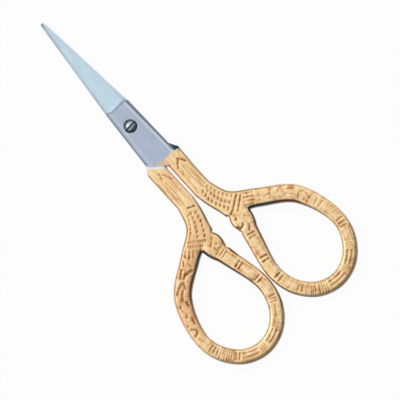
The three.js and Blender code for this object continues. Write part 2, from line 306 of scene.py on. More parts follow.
class Shade:
    """A shader socket that takes part in sums, so that a finish reads as arithmetic."""

    def __init__(self, tree, socket=None):
        self.tree = tree
        self.socket = socket

    def node(self, kind, settings, sockets, output=0):
        """One output of a new node, with its settings and its sockets' values or links."""
        made = self.tree.nodes.new(kind)
        for name, value in settings.items():
            if name == "stops":
                while len(made.color_ramp.elements) < len(value):
                    made.color_ramp.elements.new(1)
                for stop, (position, colour) in zip(made.color_ramp.elements, value):
                    stop.position = position
                    stop.color = colour
            else:
                setattr(made, name, value)
        for name, value in sockets.items():
            if isinstance(value, Shade):
                self.tree.links.new(value.socket, made.inputs[name])
            else:
                made.inputs[name].default_value = value
        return Shade(self.tree, made.outputs[output]) if made.outputs else None

    def maths(self, operation, *values):
        return self.node("ShaderNodeMath", {"operation": operation}, dict(enumerate(values)))

    def __add__(self, other):
        return self.maths("ADD", self, other)

    __radd__ = __add__

    def __sub__(self, other):
        return self.maths("SUBTRACT", self, other)

    def __rsub__(self, other):
        return self.maths("SUBTRACT", other, self)

    def __mul__(self, other):
        return self.maths("MULTIPLY", self, other)

    __rmul__ = __mul__

    def between(self, low, high):
        """0 up to low, 1 from high on, and a smooth rise in the middle."""
        spread = {"Value": self, "From Min": low, "From Max": high}
        return self.node("ShaderNodeMapRange", {"interpolation_type": "SMOOTHSTEP"}, spread)

    def blend(self, under, over):
        """The colour under where this is 0 and over where it is 1."""
        return self.node("ShaderNodeMix", {"data_type": "RGBA"}, {0: self, 6: under, 7: over}, 2)

    def darkened(self, colour, share):
        """The colour times a share of light."""
        multiply = {"data_type": "RGBA", "blend_type": "MULTIPLY"}
        return self.node("ShaderNodeMix", multiply, {0: 1.0, 6: colour, 7: share}, 2)

    def coat(self, sockets):
        """Ends a finish with its surface."""
        surface = self.node("ShaderNodeBsdfPrincipled", {}, sockets)
        self.node("ShaderNodeOutputMaterial", {}, {"Surface": surface})


def new_finish(name):
    finish = bpy.data.materials.new(name)
    finish.use_nodes = True
    finish.node_tree.nodes.clear()
    return finish, Shade(finish.node_tree)


def streaks(shade, scale, detail=3):
    """Noise drawn out along the axes with a small scale, in waves per millimetre."""
    place = shade.node("ShaderNodeTexCoord", {}, {}, "Object")
    stretch = {"Vector": place, "Scale": [each / MM for each in scale]}
    drawn = shade.node("ShaderNodeMapping", {"vector_type": "POINT"}, stretch)
    noise = {"Vector": drawn, "Scale": 1, "Detail": detail, "Roughness": 0.6}
    return shade.node("ShaderNodeTexNoise", {}, noise)


def marked(shade, name):
    """The number that a mesh keeps for each of its points."""
    return shade.node("ShaderNodeAttribute", {"attribute_name": name}, {}, "Fac")


def plan_place(shade, axis):
    """Distance from the pivot to the right, X, or towards the tips, Y, in millimetres."""
    place = shade.node("ShaderNodeTexCoord", {}, {}, "Object")
    return shade.node("ShaderNodeSeparateXYZ", {}, {"Vector": place}, axis) * (1 / MM)


def above_plating(shade):
    """Distance above the ragged line where the gold plating ends, in millimetres."""
    x, y = plan_place(shade, "X"), plan_place(shade, "Y")
    ragged = streaks(shade, (1.6, 1.6, 1.6), 4)
    aside = x - PLATING_DIP[0]
    above = y - PLATING_Y + PLATING_DIP[1] - aside * aside * PLATING_BOW
    for start, end, drop in PLATING_DROPS:
        above = above + x.between(start, end) * drop
    return above - (ragged - 0.5) * PLATING_RAGGED


def ground_steel():
    finish, shade = new_finish("ground_steel")
    y = plan_place(shade, "Y")
    from_edge, from_spine = marked(shade, "from_edge"), marked(shade, "from_spine")
    past_step = y - PLATE_TOP_Y + from_spine.between(*STEP_TURN) * STEP_DIP
    on_blade = past_step.between(-0.1, 0.4)
    across = streaks(shade, (0.4, 14, 1))
    along = streaks(shade, (11, 0.35, 1))
    cloud = streaks(shade, (0.5, 0.3, 0.5))
    brushed = across * on_blade + along * (1 - on_blade)
    steel = on_blade.blend(PLATE_STEEL, BLADE_STEEL)
    # On the blade, painted highlights where the wheel's hollow runs out and along the edge, and painted
    # shade along the spine, most of all at the point.
    hollow = on_blade * (1 - past_step.between(0.7, 1.7))
    edge = on_blade * (1 - from_edge.between(0.05, 0.5))
    spine = on_blade * (1 - from_spine.between(0.25, 0.75))
    steel = (hollow * 0.1).blend(steel, PAINTED_HIGHLIGHT_STEEL)
    steel = (edge * 0.35).blend(steel, PAINTED_HIGHLIGHT_STEEL)
    towards_tip = y.between(17, 29) * 0.25 - y.between(9, 15) * 0.2
    at_point = y.between(TIP_Y - 1.6, TIP_Y - 0.3) * 0.5
    steel = (spine * (0.5 + towards_tip + at_point)).blend(steel, PAINTED_SHADE_STEEL)
    # On the plate, painted highlights on the bevels' creases and on a band inside the left side, and painted
    # shade on the sides.
    on_plate = 1 - on_blade
    crease = from_edge.between(0.35, 0.6) - from_edge.between(0.75, 1.1)
    band = from_spine.between(0.75, 0.95) - from_spine.between(1.0, 1.4)
    dark_side = 1 - from_edge.between(0.25, 0.55) + (1 - from_spine.between(0.5, 0.85)) * 0.8
    steel = (on_plate * (crease * 0.4 + band * 0.2)).blend(steel, PAINTED_HIGHLIGHT_STEEL)
    steel = (on_plate * dark_side * 0.8).blend(steel, PAINTED_SHADE_STEEL)
    # The counterbore is painted: shade on its side away from the tips, a painted highlight on the side
    # towards them.
    steel = marked(shade, "sunk").blend(steel, y.between(-0.6, 0.6).blend(WALL_SHADE_STEEL, PAINTED_HIGHLIGHT_STEEL))
    shaded = brushed * 0.2 + cloud * 0.3 + 0.75
    steel = shade.darkened(steel, shaded)
    # Painted shade on upright walls.
    steel = (marked(shade, "upright") * 0.9).blend(steel, WALL_SHADE_STEEL)
    # Painted shade on the flare's facet.
    steel = marked(shade, "facet").blend(steel, FACET_SHADE_STEEL)
    # Filed steel, painted near white as a highlight.
    filed = marked(shade, "filed")
    steel = filed.blend(steel, FILED_HIGHLIGHT_STEEL)
    colour = (1 - above_plating(shade).between(-0.05, 0.12)).blend(steel, PLATING_EDGE)
    bump = shade.node("ShaderNodeBump", {}, {"Strength": 0.25, "Distance": 0.01 * MM, "Height": brushed})
    shade.coat({
        "Base Color": colour,
        "Metallic": 1 - filed * 0.8,
        "Roughness": 0.26 + brushed * 0.16 + filed * 0.3,
        "Normal": bump,
    })
    return finish


ROW_GAP = 0.02
HOLLOW_LENGTH = 1.6
FLAT_TOP_Y = STEP_FOOT_Y - 0.1
blade_rows = np.concatenate([  # where the cross-sections lie, closer together where the shape turns
    np.linspace(TIP_Y, TIP_Y - POINT_LENGTH, 10),
    np.linspace(TIP_Y - POINT_LENGTH, PLATE_TOP_Y + HOLLOW_LENGTH, 50)[1:],
    np.linspace(PLATE_TOP_Y + HOLLOW_LENGTH, PLATE_TOP_Y, 33)[1:],
    np.linspace(PLATE_TOP_Y - ROW_GAP, FLAT_TOP_Y, 20),
    np.linspace(FLAT_TOP_Y - ROW_GAP, FRONT_FLARE_Y, 34),
    np.linspace(FRONT_FLARE_Y - ROW_GAP, SHOULDER_Y, 8),
    np.linspace(SHOULDER_Y - ROW_GAP, PLATING_Y, 9),
])
TONGUE_LENGTH = 0.3  # the steel runs on a little under the gilt
TONGUE_TAPER = 0.02
HOLE_RADIUS = 1.05
COUNTERBORE_RADIUS = 1.6
COUNTERBORE_FLOOR = 0.85
FILED_WIDTH = 0.2  # of the filed steel along a shoulder, painted near white as a highlight
FILED_FOOT = 0.5  # how far it reaches up the inner face
STEP_LENGTH = 1.1
STEP_GLINT = 0.6  # how much of the painted wall shade the step loses
HAIR = 0.05  # as good as touching
steel_finish = ground_steel()
for name, lean, body in (("front_blade", 1, "front_half"), ("back_blade", -1, "back_half")):
    rings = [blade_ring(lean, y) for y in blade_rows]
    tongue = blade_ring(lean, PLATING_Y - TONGUE_LENGTH)
    rings.append(tongue + TONGUE_TAPER * (tongue.mean(0) - tongue))
    blade = lofted(name + "_steel", [placed(ring, lean) for ring in rings])
    cut_away(blade, round_bar(HOLE_RADIUS, -2 * HALF_HEIGHT, 2 * HALF_HEIGHT))
    if lean > 0:
        cut_away(blade, round_bar(COUNTERBORE_RADIUS, COUNTERBORE_FLOOR, 2 * HALF_HEIGHT))
    blade.data.shade_smooth()
    blade.data.set_sharp_from_angle(angle=SHARP_ANGLE)
    x, y, z = own_points(blade, lean)
    on_plate = y < PLATE_TOP_Y
    spine_x, edge_x = np.where(on_plate, plate_sides(lean, y), blade_sides(lean, y))
    at_shoulder = (y < SHOULDER_Y) & (x < shoulder_x(lean, y) + FILED_WIDTH)
    at_inner_foot = (y < SHOULDER_Y + FILED_FOOT) & (z < INNER_FACE + HAIR) & (x < flare_x(lean, y) - HAIR)
    at_inner_foot &= x > -shoulder_x(-lean, y) - 3 * HAIR  # only what the other plate leaves in sight
    sunk = (np.hypot(x, y) < COUNTERBORE_RADIUS + HAIR) & (z < HALF_HEIGHT - 2 * HAIR)
    at_step = (y > STEP_FOOT_Y - 0.03) & (y < PLATE_TOP_Y + STEP_LENGTH) & (facing(blade)[1] > 0.4)
    mark(blade, "upright", upright(blade) * (1 - STEP_GLINT * at_step))
    mark(blade, "from_spine", x - spine_x)
    mark(blade, "from_edge", edge_x - x)
    mark(blade, "facet", (y < flare_ends(lean)[0][1]) & (x > plate_sides(lean, y)[1] + 0.03))
    mark(blade, "sunk", sunk)
    mark(blade, "filed", at_shoulder | at_inner_foot)
    blade.data.materials.clear()
    blade.data.materials.append(steel_finish)
    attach(blade, body)
    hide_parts(name)

# Handles
# The other ends of the forgings: a shank, and a rim bent round into a bow for a finger. They are chased with
# punches and gravers all over, then gold plated. The hollows are darker, partly patina and partly painted
# shade;
# painted shade also lies on the edges, some walls, the bow's hole and the gap, and painted highlights on the
# ridges.
SHANK_SQUARENESS = 5.0
BOW_SQUARENESS = 4.0
RIM_STATIONS = [  # x, y and width of the rim, down the shank, round the bow and back up the stem
    (2.5, -10.2, 4.5),
    (2.5, -20.4, 4.5),
    (2.5, -21.4, 4.5),
    (4.5, -27.1, 4.9),
    (10.38, -31.15, 4.3),
    (17.38, -36.5, 4.1),
]
BOW_INNER_X = 1.78
BOW_HALF_ACROSS = 9.375
BOW_MIDDLE_Y = -46.2
BOW_HALF_BELOW = 10.7
RIM_SIDE_WIDTH = 3.3
RIM_END_WIDTH = 3.5
for turn in np.radians(range(0, 181, 30)):
    RIM_STATIONS.append((
        BOW_INNER_X + BOW_HALF_ACROSS * (1 + np.cos(turn)),
        BOW_MIDDLE_Y - BOW_HALF_BELOW * np.sin(turn),
        RIM_SIDE_WIDTH + (RIM_END_WIDTH - RIM_SIDE_WIDTH) * np.sin(turn),
    ))
RIM_STATIONS += [(3.58, -37.2, 3.85), (4.83, -32.2, 4.4)]
WEB_STATIONS = [(2.5, -21.4, 4.2), (4.83, -32.2, 4.7), (4.49, -33.56, 4.7)]
BOSS_MIDDLE = (3.18, -32.2)
BOSS_SIZE = (1.3, 2.2)
BOSS_NOTCHES = [(2.5, -29.95), (2.25, -34.5)]
NOTCH_DEPTH, NOTCH_SIZE = 0.16, 0.35
FORK_MELT, WEB_MELT, BOSS_MELT = 0.3, 0.16, 0.12  # how softly these run into the rest
SHOULDER_CLEARANCE = 0.02
SHOULDER_RAMP = (0.65, 0.25)  # width and drop
SLAB_CORNER = (2.6, CROTCH_Y - 1)  # where the plate's gilt end has run out into the shank
SWELL_FOOT = (3.5, -17)  # from here the front shank swells out to the flare
FORK_Y = -36.0
CHASING_DEPTH = 0.32
GRAIN = np.array([0.12, 0.12, 0.15])  # fineness of the chased surface
HANDLE_LOW = np.array([-4.2, -59.4, -2.1])  # corners of the block that a handle is cut from
HANDLE_HIGH = np.array([23.0, -9.4, 2.1])

# From deep groove to proud ridge: the dark end is partly patina and partly painted shade, the light end a
# painted highlight.
GILT_STOPS = [
    (0.0, (0.20, 0.080, 0.040, 1)),
    (0.2, (0.43, 0.19, 0.085, 1)),
    (0.36, (0.68, 0.395, 0.185, 1)),
    (0.5, (0.85, 0.58, 0.315, 1)),
    (0.62, (0.93, 0.70, 0.41, 1)),
    (1.0, (1.0, 0.89, 0.66, 1)),
]
# Painted shade on the rim's edges and outer outline.
EDGE_SHADE_GILT = (0.58, 0.37, 0.21, 1)
OUTLINE_SHADE_GILT = (0.30, 0.21, 0.14, 1)
WALL_GILT = (0.80, 0.55, 0.31, 1)
# Painted highlight on the back handle's side of the gap.
GAP_HIGHLIGHT_GILT = (0.98, 0.88, 0.70, 1)
# Painted shade on walls facing away from the tips.
LEE_SHADE_GILT = (0.13, 0.07, 0.04, 1)
YELLOW_GILT = (0.93, 0.70, 0.33, 1)
# Painted warm shade on the front handle's side of the gap.
GAP_SHADE_GILT = (0.92, 0.46, 0.21, 1)
RUDDY_GILT = (0.62, 0.27, 0.12, 1)
# Painted shade in the bow's hole, along the fork and round the boss, in three tones.
CROOK_SHADE_GILT = (0.10, 0.12, 0.10, 1)
RUSSET_SHADE_GILT = (0.20, 0.10, 0.07, 1)
STEM_SHADE_GILT = (0.17, 0.10, 0.06, 1)


def curve_through(stations):
    """A smooth curve through the stations, as points close together with their distance along it."""
    known = np.array(stations)
    known = np.vstack([2 * known[0] - known[1], known, 2 * known[-1] - known[-2]])
    spans = []
    for p0, p1, p2, p3 in zip(known, known[1:], known[2:], known[3:]):
        d0, d1, d2 = (math.sqrt(np.linalg.norm(b - a)) for a, b in ((p0, p1), (p1, p2), (p2, p3)))
        leave = ((p1 - p0) / d0 - (p2 - p0) / (d0 + d1) + (p2 - p1) / d1) * d1
        arrive = ((p2 - p1) / d1 - (p3 - p1) / (d1 + d2) + (p3 - p2) / d2) * d1
        t = np.linspace(0, 1, 80, endpoint=False)[:, None]
        bend = -3 * p1 + 3 * p2 - 2 * leave - arrive
        spans.append(p1 + leave * t + bend * t**2 + (2 * p1 - 2 * p2 + leave + arrive) * t**3)
    points = np.vstack([*spans, known[-2:-1]])
    run = np.concatenate([[0], np.cumsum(np.hypot(*np.diff(points[:, :2], axis=0).T))])
    return points, run


rim, rim_run = curve_through(RIM_STATIONS)
web = curve_through(WEB_STATIONS)[0]


def on_rim(along):
    return np.array([np.interp(along, rim_run, rim[:, i]) for i in (0, 1)])


def beside(along, offset):
    """The plan point at a distance along the rim's middle line and an offset from it, outwards positive."""
    x, y = on_rim(along)
    way_x, way_y = on_rim(along + 0.1) - on_rim(along - 0.1)
    length = np.hypot(way_x, way_y)
    return np.stack([x - offset * way_y / length, y + offset * way_x / length], axis=-1)


def half_width(along):
    return np.interp(along, rim_run, rim[:, 2]) / 2


counts = np.ceil((HANDLE_HIGH - HANDLE_LOW) / GRAIN).astype(int)
grid_x, grid_y, grid_z = (HANDLE_LOW[i] + GRAIN[i] * np.arange(counts[i]) for i in range(3))
plan_x, plan_y = np.meshgrid(grid_x, grid_y, indexing="ij")


def reach_from(line):
    """Over the plan, the distance from a line in half widths, up to 3, and the nearest point's number."""
    nearest = np.full(plan_x.shape, 3.0)
    which = np.zeros(plan_x.shape, int)
    for i, (x, y, width) in enumerate(line):
        half = width / 2
        window = np.ix_(np.abs(grid_x - x) < 3 * half, np.abs(grid_y - y) < 3 * half)
        share = np.hypot(plan_x[window] - x, plan_y[window] - y) / half
        closer = share < nearest[window]
        nearest[window] = np.where(closer, share, nearest[window])
        which[window] = np.where(closer, i, which[window])
    return nearest, which


def spot(x, y, size):
    """A soft round spot on the plan."""
    return np.exp(-((plan_x - x) ** 2 + (plan_y - y) ** 2) / size**2)


def melted(a, b, blend):
    """The lesser of two fields, run together smoothly where they are alike."""
    mix = np.clip(0.5 + 0.5 * (b - a) / blend, 0, 1)
    return b + (a - b) * mix - blend * mix * (1 - mix)


rim_reach, rim_number = reach_from(rim)
halfway = len(rim) // 2
bow_reach, stem_reach = (reach_from(part)[0] for part in (rim[:halfway], rim[halfway:]))
forked = np.where(plan_y > FORK_Y, melted(bow_reach, stem_reach, FORK_MELT), rim_reach)
boss_x, boss_y = (plan_x - BOSS_MIDDLE[0]) / BOSS_SIZE[0], (plan_y - BOSS_MIDDLE[1]) / BOSS_SIZE[1]
body_reach = melted(forked, reach_from(web)[0], WEB_MELT)
body_reach = melted(body_reach, np.hypot(boss_x, boss_y), BOSS_MELT)
for x, y in BOSS_NOTCHES:
    body_reach += NOTCH_DEPTH * spot(x, y, NOTCH_SIZE)
flare_swell = np.clip(plan_x - SWELL_FOOT[0], 0, 1) * rising(plan_y, SWELL_FOOT[1], PLATING_Y)
flare_swell *= FRONT_FLARE_REACH / half_width(0)

rim_way = np.gradient(rim[:, :2], axis=0)
rim_way /= np.hypot(*rim_way.T)[:, None]
along_plan = rim_run[rim_number]
aside_plan = rim_way[rim_number, 0] * (plan_y - rim[rim_number, 1])
aside_plan -= rim_way[rim_number, 1] * (plan_x - rim[rim_number, 0])


def smoothed(field, times):
    """Each place takes part of its neighbours' value, again and again."""
    for _ in range(times):
        field = (np.roll(field, 1, 0) + 2 * field + np.roll(field, -1, 0)) / 4
        field = (np.roll(field, 1, 1) + 2 * field + np.roll(field, -1, 1)) / 4
    return field


# The fine lines of the chased ground fade out where the rim meets the stem.
jump = np.maximum(*(np.abs(step) > 5 for step in np.gradient(along_plan)))
plain = np.clip(3 * smoothed(jump.astype(float), 12), 0, 1)
# Painted shade: dark in the bow's hole, along the gap between the handles and round the boss.
inner_side, outer_side = rising(-aside_plan, 0, 0.3), rising(aside_plan, 0, 0.3)
tucked = np.interp(along_plan, [18, 21, 33, 38, 68, 76, 83, 90], [0, 1, 0.85, 0.3, 0.25, 0.7, 0.9, 1])
shadowed = np.interp(along_plan, [19, 23, 34, 40, 70, 80, 90], [0.8, 0.6, 0.62, 0.8, 0.82, 0.78, 0.76])
hole = (body_reach > 1) & (aside_plan < 0) & (along_plan > 21.5)
hole_side = tucked * inner_side * rising(smoothed(hole.astype(float), 40), 0.03, 0.09)
gap_edge = rising(body_reach, 0.8, 0.92) * inner_side
gap_side = gap_edge * np.interp(along_plan, [1, 2, 11, 14], [0, 1, 1, 0])
fork_edge = gap_edge * np.interp(along_plan, [11, 13, 19, 21], [0, 0.48, 0.48, 0])
boss_edge = spot(2.1, -32.0, 1.6)
stem_edge = spot(2.4, -36.4, 1.4) * outer_side
# The back handle is a little redder on the fork, the boss and the top of the bow.
ruddy = np.interp(along_plan, [12, 16, 19, 22, 36, 46], [0, 0.3, 0.5, 1, 1, 0])
ruddy = smoothed(np.maximum(ruddy, spot(3.9, -32.3, 2.0)), 60)

GROOVE_SPREAD = 1.5  # a groove runs out this much wider than its cut
DOT_GROOVE = (1.6, 0.3)  # width and depth, against a dot's, of the groove that dots lie in


class Chasing:
    """The ornament of one handle, as a depth over its plan."""

    def __init__(self):
        self.depth = np.zeros(plan_x.shape)

    def score(self, points, width, depth):
        """A groove along a line of points."""
        points = np.asarray(points, float).reshape(-1, 2)
        spread = GROOVE_SPREAD * width
        low, high = points.min(0) - spread, points.max(0) + spread
        window = np.ix_((grid_x > low[0]) & (grid_x < high[0]), (grid_y > low[1]) & (grid_y < high[1]))
        x, y = plan_x[window], plan_y[window]
        away = np.full(x.shape, np.inf)
        for start, end in zip(points[:-1], points[1:]):
            way = end - start
            share = ((x - start[0]) * way[0] + (y - start[1]) * way[1]) / max(way @ way, 1e-9)
            share = np.clip(share, 0, 1)
            away = np.minimum(away, np.hypot(x - start[0] - share * way[0], y - start[1] - share * way[1]))
        cut = depth * np.cos(np.clip(2 * away / spread, 0, 1) * np.pi / 2) ** 2
        self.depth[window] = np.maximum(self.depth[window], cut)

    def punch(self, point, width, depth):
        """A round dot."""
        self.score([point, point], width, depth)

    def dotted(self, points, count, width=0.6, depth=0.26, dash=(0.14, 0.14)):
        """Short strokes at even steps in a shallow groove."""
        points = np.array(points)
        run = np.concatenate([[0], np.cumsum(np.hypot(*np.diff(points, axis=0).T))])
        self.score(points, DOT_GROOVE[0] * width, DOT_GROOVE[1] * depth)
        for place in np.linspace(0, run[-1], count):
            middle = np.array([np.interp(place, run, points[:, i]) for i in (0, 1)])
            self.score([middle - dash, middle + dash], width, depth)

    def bands(self, along, count, pitch, width=0.62, depth=0.27, reach=0.42):
        """Grooves across the rim."""
        for place in along + pitch * (np.arange(count) - (count - 1) / 2):
            offsets = np.linspace(-reach, reach, 5) * half_width(place)
            self.score([beside(place, offset) for offset in offsets], width, depth)

    def flutes(self, start, end, shares, width=0.42, depth=0.2):
        """Grooves along the rim."""
        places = np.linspace(start, end, 12)
        for share in shares:
            self.score(beside(places, share * half_width(places)), width, depth)

    def scroll(self, strokes, width=0.6, depth=0.22):
        """Leaves along the rim, each a stroke through places given by their distance along it and offset."""
        for stroke in strokes:
            along, offset = np.array(stroke).T
            fine = np.linspace(0, len(stroke) - 1, 8)
            whole = np.arange(len(stroke))
            self.score(beside(np.interp(fine, whole, along), np.interp(fine, whole, offset)), width, depth)


def chase_shank(chasing):
    """Lengthwise graining."""
    for share, start, end in (
        (-0.7, 3.4, 7.2), (-0.62, 8.0, 11.2), (-0.44, 5.1, 10.6), (-0.2, 3.6, 8.0), (0.06, 4.6, 10.9),
        (0.2, 9.0, 11.4), (0.32, 3.3, 9.4), (0.55, 6.2, 11.0), (0.76, 4.0, 8.8),
    ):
        chasing.flutes(start, end, [share], 0.36, 0.1)


# Front handle: dots and strokes on the fork, a chevron on the shank, leaves and bands round the bow.
front_chasing = Chasing()
chase_shank(front_chasing)
front_chasing.dotted([(2.15, -22.1), (1.95, -24.4), (2.6, -26.35), (3.8, -28.7)], 8, 0.64, 0.27)
front_chasing.dotted([(2.95, -22.7), (3.45, -24.9), (4.0, -26.5), (4.9, -27.8)], 7, 0.6, 0.23)
front_chasing.dotted([(3.65, -21.9), (4.15, -23.85), (4.65, -25.2), (6.2, -27.05)], 7, 0.56, 0.22)
front_chasing.score([(1.65, -14.4), (2.3, -13.4), (2.9, -12.6), (3.5, -13.5), (3.85, -14.2)], 0.68, 0.24)
front_chasing.score([(1.7, -15.9), (1.45, -16.6)], 0.6, 0.2)
front_chasing.score([(3.3, -30.0), (4.35, -29.65), (7.3, -27.5)], 0.6, 0.28)
front_chasing.score([(5.0, -30.6), (7.8, -28.3)], 0.55, 0.24)
front_chasing.flutes(21.3, 23.6, (-0.6, -0.2, 0.2, 0.6), 0.5, 0.17)
front_chasing.scroll([
    [(26.0, -0.1), (27.3, 0.4)], [(28.7, 0.1), (29.3, 0.8), (29.7, 1.4)], [(27.2, 1.1), (28.1, 1.4)],
    [(30.4, -0.6), (31.2, -0.1), (32.2, -0.3)], [(31.2, 0.9), (32.3, 1.1)],
    [(33.8, -0.8), (33.8, 0.4), (34.6, 1.0)], [(35.3, 0.6), (36.4, 0.1)], [(35.4, -0.7), (36.3, -0.9)],
], 0.6, 0.13)
for band in (
    (24.9, 1, 1, 0.5, 0.1), (38.6, 2, 1.2, 0.46, 0.17), (45.5, 3, 0.9, 0.46, 0.22),
    (50.8, 2, 0.6, 0.34, 0.12), (56.4, 3, 0.55, 0.34, 0.12), (63.0, 4, 0.6, 0.36, 0.22, 0.7),
    (65.8, 5, 0.45, 0.3, 0.18, 0.7), (68.3, 2, 0.85, 0.46, 0.2), (73.7, 2, 1.0), (79.0, 2, 1.05),
    (85.0, 2, 0.85, 0.5, 0.22),
):
    front_chasing.bands(*band)
front_chasing.flutes(52.2, 55.4, (-0.3, 0.25), 0.5, 0.24)
front_chasing.flutes(57.5, 61.3, (-0.35, 0.2), 0.55, 0.24)
for start, end in ((40.0, 44.0), (47.2, 50.0), (69.2, 72.7), (74.8, 77.9), (80.2, 84.0)):
    front_chasing.flutes(start, end, (-0.5, 0.5), 0.4, 0.1)
front_chasing.punch((3.35, -31.7), 0.8, 0.3)
front_chasing.score([(2.5, -33.3), (2.75, -33.95), (3.55, -33.85), (4.0, -33.4)], 0.65, 0.32)
front_chasing.punch((5.5, -32.25), 0.75, 0.22)
front_chasing.score([(4.9, -34.5), (4.15, -35.4)], 0.6, 0.2)

# Back handle: the same kinds of mark, set differently, with bolder leaves.
back_chasing = Chasing()
chase_shank(back_chasing)
BACK_DASH = (-0.14, 0.14)
back_chasing.dotted([(2.3, -24.45), (2.75, -26.4), (3.65, -28.45), (4.4, -29.6)], 6, 0.64, 0.26, BACK_DASH)
back_chasing.dotted([(3.25, -23.95), (4.05, -25.9), (5.0, -27.6), (5.75, -28.75)], 6, 0.64, 0.26, BACK_DASH)
back_chasing.dotted([(4.1, -24.0), (4.95, -25.5), (6.2, -27.0), (7.2, -27.7)], 6, 0.6, 0.22, BACK_DASH)
back_chasing.score([(2.9, -14.05), (2.65, -12.5), (1.75, -13.6), (1.15, -15.2)], 0.55, 0.17)
back_chasing.punch((2.6, -12.55), 0.7, 0.24)
back_chasing.score([(1.65, -23.1), (2.75, -22.65)], 0.5, 0.24)
back_chasing.punch((1.65, -23.1), 0.6, 0.34)
back_chasing.punch((2.75, -22.65), 0.7, 0.36)
back_chasing.dotted([(8.2, -28.4), (5.1, -30.5)], 8, 0.5, 0.26, BACK_DASH)
back_chasing.dotted([(8.85, -29.15), (6.2, -31.0)], 8, 0.5, 0.26, BACK_DASH)
back_chasing.scroll([
    [(22.7, 1.4), (24.4, 1.1)], [(22.7, 0.4), (24.6, 0.0)], [(22.5, -0.4), (23.9, -0.7)],
    [(25.4, 1.2), (26.4, 0.9)], [(25.6, 0.0), (26.2, -0.8)],
], 0.6, 0.26)
back_chasing.scroll([
    [(27.5, 1.15), (29.3, 0.85)], [(29.2, 0.05), (28.1, 0.0), (27.5, -0.75), (26.8, -1.15)],
    [(32.7, 1.05), (31.3, 0.65), (30.0, 0.0), (31.2, -0.6)], [(31.9, -0.15), (33.9, 0.1)],
    [(34.6, -0.8), (35.6, -1.0)],
], 0.8, 0.4)
back_chasing.scroll([
    [(35.2, 0.85), (35.5, 0.85)], [(36.2, 0.6), (36.9, 0.05), (37.9, 0.25)], [(39.6, 0.95), (40.0, 0.95)],
    [(38.4, -0.7), (39.6, -0.7)], [(40.6, 0.6), (41.2, -0.35), (42.1, -0.2), (42.4, 0.55)],
], 0.75, 0.27)
back_chasing.scroll([[(43.4, 0.2), (44.4, 0.0)], [(44.2, -0.65), (45.6, -0.2)]], 0.5, 0.12)
for band in (
    (47.5, 3, 0.85, 0.46, 0.2), (50.6, 7, 0.52, 0.34, 0.2, 0.8), (53.0, 2, 0.8, 0.46, 0.22),
    (59.3, 3, 0.62, 0.36, 0.14), (65.4, 4, 0.5, 0.34, 0.14), (71.1, 3, 0.7, 0.44, 0.2),
    (76.6, 2, 0.9), (82.0, 2, 0.9), (86.7, 3, 0.75, 0.5, 0.22),
):
    back_chasing.bands(*band)
back_chasing.flutes(54.4, 57.9, (-0.35, 0.2), 0.5, 0.2)
back_chasing.flutes(60.9, 64.0, (-0.3, 0.2), 0.55, 0.24)
back_chasing.flutes(67.0, 69.6, (-0.05,), 0.5, 0.2)
for start, end in ((72.6, 75.6), (77.6, 81.0), (83.0, 85.4)):
    back_chasing.flutes(start, end, (-0.5, 0.5), 0.4, 0.1)
back_chasing.score([(3.6, -31.15), (4.25, -31.75), (5.1, -32.25)], 0.6, 0.2)
back_chasing.punch((3.7, -32.7), 0.8, 0.3)
back_chasing.score([(4.5, -33.25), (4.55, -33.95), (3.85, -33.8)], 0.6, 0.28)


def from_line(start, end, x, y):
    """Distance from a straight line, positive on its left."""
    way = np.subtract(end, start)
    return (way[0] * (y - start[1]) - way[1] * (x - start[0])) / np.hypot(*way)


def past_ramp(lean, x, y, z):
    """Distance past the ramp that is filed on a shank's shoulder, to give the other plate room."""
    corner = (-plate_sides(-lean, SHOULDER_Y)[0], SHOULDER_Y)
    away = from_line(corner, (-SHANK_INNER, CROTCH_Y), x, y)
    width, drop = SHOULDER_RAMP
    return away - SHOULDER_CLEARANCE - width * np.clip(1 - (HALF_HEIGHT + z) / drop, 0, None)


def inside_shoulder(lean, x, y):
    """Distance inside the slanted left side of a plate's foot."""
    return from_line((plate_sides(lean, SHOULDER_Y)[0], SHOULDER_Y), (SHANK_INNER, CROTCH_Y), x, y)


GROOVE_BITE = 0.2  # how far a groove also bites into the rim's side
FIELD_SCALE = 1.8  # millimetres to one half width, about
SQUARE_FROM, SQUARE_TO = 13, 22  # distances along the rim between which the shank turns into the bow


def handle_field(lean, reach, depth):
    """Negative inside the handle, in millimetres: rim, plate's gilt end, room for the other plate."""
    x, y = plan_x[..., None], plan_y[..., None]
    z = grid_z[None, None, :]
    square = np.interp(along_plan, [SQUARE_FROM, SQUARE_TO], [SHANK_SQUARENESS, BOW_SQUARENESS])[..., None]
    side = np.clip(reach + GROOVE_BITE * depth, 0, None)[..., None] ** square
    flat = (np.clip(np.abs(z) + depth[..., None], 0, None) / HALF_HEIGHT) ** square
    solid = ((side + flat) ** (1 / square) - 1) * FIELD_SCALE
    flare_start, flare_foot = flare_ends(lean)
    past_flare = np.minimum(from_line(flare_start, flare_foot, x, y), y - flare_foot[1])
    solid = np.maximum(solid, past_flare)
    room = np.maximum(z - INNER_FACE, past_ramp(lean, x, y, z))
    solid = np.maximum(solid, -room)
    inside = inside_shoulder(lean, x, y)
    plate = np.maximum(np.maximum(-inside, z - HALF_HEIGHT), INNER_FACE - z)
    past_slab = np.maximum(SLAB_CORNER[1] - y, from_line(flare_foot, SLAB_CORNER, x, y))
    plate = np.maximum(np.maximum(plate, past_slab), past_flare)
    return np.maximum(np.minimum(solid, plate), np.where(z < INNER_FACE, y - SHOULDER_Y, y - PLATING_Y))


def sampled(field, points):
    """A plan field read at points, in grid steps."""
    whole = np.clip(np.floor(points).astype(int), 0, np.array(field.shape) - 2)
    (i, j), (u, v) = whole.T, (points - whole).T
    low = field[i, j] * (1 - u) + field[i + 1, j] * u
    return low * (1 - v) + (field[i, j + 1] * (1 - u) + field[i + 1, j + 1] * u) * v


